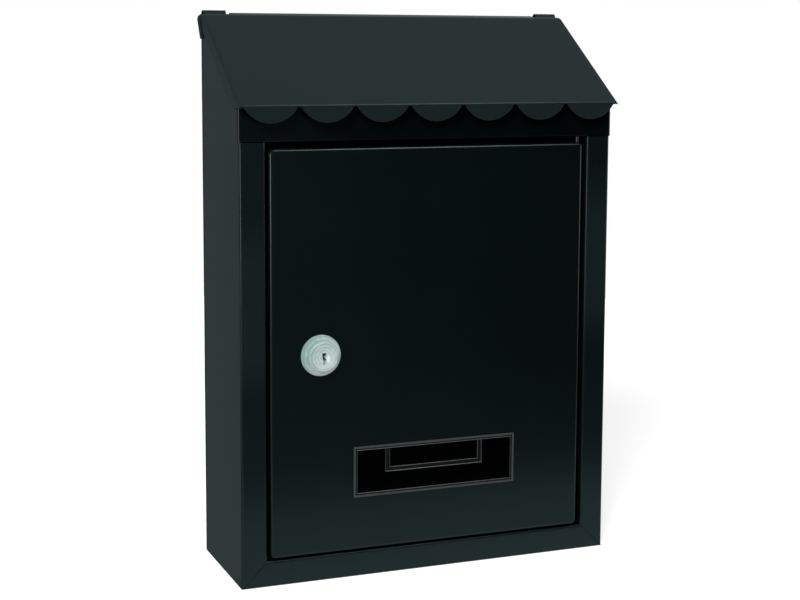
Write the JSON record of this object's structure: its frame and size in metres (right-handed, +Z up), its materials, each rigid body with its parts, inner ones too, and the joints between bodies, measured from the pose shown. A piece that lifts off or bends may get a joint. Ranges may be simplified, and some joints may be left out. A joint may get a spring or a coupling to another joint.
{
  "type": "wall mounted mailbox",
  "caption": "Folded steel wall mailbox with a hinged roof over a scalloped lip, and a locking front door with a window and card holder.",
  "frame": {"origin": "centre of the four wall screw holes, on the back face", "axes": "+X to the right seen from the front, +Y into the wall, +Z up"},
  "size_m": [0.2197, 0.0818, 0.3056],
  "materials": {
    "black_coat": "satin black powder coat",
    "lock_metal": "dull nickel plate, turned",
    "zinc_steel": "zinc plated",
    "wafer_brass": "stamped",
    "window_frame": "black, moulded",
    "window_pane": "dark tinted, polished"
  },
  "bodies": {
    "box": {"back_panel": "black_coat", "left_side": "black_coat", "right_side": "black_coat", "bottom_panel": "black_coat", "front_header": "black_coat", "roof_hinge_rod": "black_coat", "upper_hinge_pin": "zinc_steel", "lower_hinge_pin": "zinc_steel"},
    "roof": {"roof_lid": "black_coat"},
    "door": {"door_panel": "black_coat", "window_bezel": "window_frame", "window_pane": "window_pane", "card_holder": "window_frame", "lock_housing": "lock_metal", "lock_washer": "zinc_steel", "lock_nut": "zinc_steel"},
    "lock": {"lock_plug": "lock_metal", "lock_wafers": "wafer_brass", "wafer_springs": "zinc_steel", "lock_cam": "zinc_steel", "cam_washer": "zinc_steel", "cam_screw": "zinc_steel"}
  },
  "joints": [
    {"name": "roof_hinge", "type": "hinge", "parent": "box", "child": "roof", "pos_m": [0, -0.0026, 0.1524], "axis": [-1, 0, 0], "range_deg": [0, 95]},
    {"name": "door_hinge", "type": "hinge", "parent": "box", "child": "door", "pos_m": [0.0886, -0.0712, 0], "axis": [0, 0, 1], "range_deg": [0, 100]},
    {"name": "lock_turn", "type": "hinge", "parent": "door", "child": "lock", "pos_m": [-0.0639, -0.075, -0.0262], "axis": [0, 1, 0], "range_deg": [0, 90]}
  ]
}
